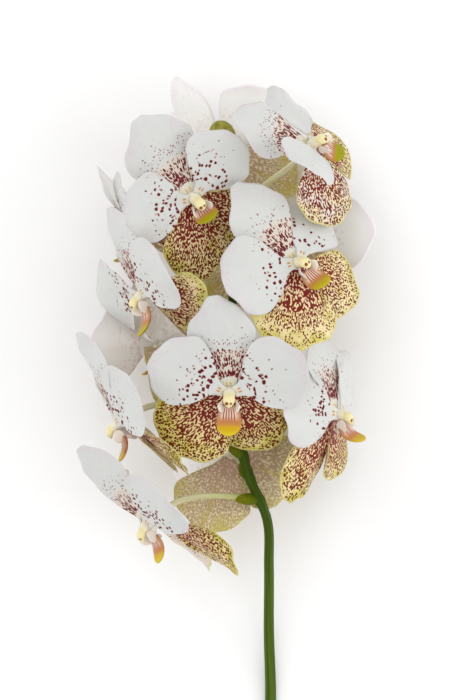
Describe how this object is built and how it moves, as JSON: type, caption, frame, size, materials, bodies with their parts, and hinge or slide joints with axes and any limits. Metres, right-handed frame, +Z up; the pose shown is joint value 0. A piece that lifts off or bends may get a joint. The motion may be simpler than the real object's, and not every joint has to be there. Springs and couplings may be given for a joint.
{
  "type": "cut stem of a spotted vanda orchid",
  "caption": "Cut flower stem lying on its back, with flat spotted orchid blooms set round it on short stalks, a small lip on each and a closed bud at the tip.",
  "frame": {"origin": "bottom centre of the bounding box, on the surface that the stem lies on", "axes": "+Z up from that surface; +Y along the stem from its cut end to its tip; +X to the right when seen from above with the tip away"},
  "size_m": [0.1364, 0.3242, 0.1082],
  "materials": {
    "petals": "satin, waxy white with dark red spots near the base",
    "sepals": "satin, cream yellow mottled with dark red",
    "lip": "satin, pink with darker stripes and a yellow tip",
    "pedicel": "satin, pale green to cream",
    "stem": "satin, leaf green",
    "bud": "satin, olive green"
  },
  "bodies": {
    "root": {"front_petals": "petals", "front_sepals": "sepals", "front_lip": "lip", "front_stalk": "pedicel", "upper_left_petals": "petals", "upper_left_sepals": "sepals", "upper_left_lip": "lip", "upper_left_stalk": "pedicel", "upper_right_petals": "petals", "upper_right_sepals": "sepals", "upper_right_lip": "lip", "upper_right_stalk": "pedicel", "left_petals": "petals", "left_sepals": "sepals", "left_lip": "lip", "left_stalk": "pedicel", "lower_left_petals": "petals", "lower_left_sepals": "sepals", "lower_left_lip": "lip", "lower_left_stalk": "pedicel", "bottom_petals": "petals", "bottom_sepals": "sepals", "bottom_lip": "lip", "bottom_stalk": "pedicel", "right_petals": "petals", "right_sepals": "sepals", "right_lip": "lip", "right_stalk": "pedicel", "top_right_petals": "petals", "top_right_sepals": "sepals", "top_right_lip": "lip", "top_right_stalk": "pedicel", "back_right_petals": "petals", "back_right_sepals": "sepals", "back_right_lip": "lip", "back_right_stalk": "pedicel", "back_bottom_petals": "petals", "back_bottom_sepals": "sepals", "back_bottom_lip": "lip", "back_bottom_stalk": "pedicel", "back_left_petals": "petals", "back_left_sepals": "sepals", "back_left_lip": "lip", "back_left_stalk": "pedicel", "back_high_petals": "petals", "back_high_sepals": "sepals", "back_high_lip": "lip", "back_high_stalk": "pedicel", "back_top_petals": "petals", "back_top_sepals": "sepals", "back_top_lip": "lip", "back_top_stalk": "pedicel", "stem": "stem", "bud": "bud"}
  },
  "joints": []
}
